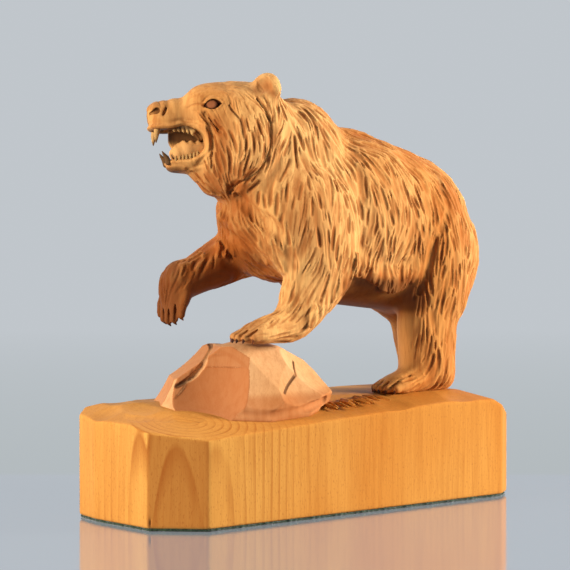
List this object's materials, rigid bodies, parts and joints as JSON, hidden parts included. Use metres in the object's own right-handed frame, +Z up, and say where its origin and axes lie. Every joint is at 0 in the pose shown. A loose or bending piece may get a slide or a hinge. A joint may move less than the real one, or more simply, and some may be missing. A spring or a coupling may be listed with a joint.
{
  "type": "carved bear figurine",
  "caption": "Carved wooden bear with an open mouth and a raised forepaw, standing on a boulder and a rough-hewn wooden plinth with a felt underside.",
  "frame": {"origin": "centre of the plinth's underside", "axes": "+Z up, -X the way the bear faces, -Y towards the bear's left flank"},
  "size_m": [0.3, 0.118, 0.2847],
  "materials": {
    "carved_wood": "satin oiled wood with carved hair strokes",
    "plinth_wood": "satin oiled wood, sawn and planed faces with visible grain",
    "boulder_wood": "satin oiled wood with gouge facets",
    "felt": "dark green felt sheet",
    "tooth": "pale wood, satin",
    "tongue_wood": "pale orange wood, satin",
    "claw": "dark stained wood, satin",
    "eye": "polished brown wood",
    "nose": "satin oiled wood"
  },
  "bodies": {
    "root": {"plinth": "plinth_wood", "plinth_felt": "felt", "boulder": "boulder_wood", "torso": "carved_wood", "head": "carved_wood", "lower_jaw": "carved_wood", "tongue": "tongue_wood", "upper_teeth": "tooth", "lower_teeth": "tooth", "nose_pad": "nose", "left_eye": "eye", "right_eye": "eye", "left_ear": "carved_wood", "right_ear": "carved_wood", "left_foreleg": "carved_wood", "right_foreleg": "carved_wood", "left_hind_leg": "carved_wood", "right_hind_leg": "carved_wood", "left_fore_claws": "claw", "right_fore_claws": "claw", "left_hind_claws": "claw", "right_hind_claws": "claw", "tail": "carved_wood"}
  },
  "joints": []
}
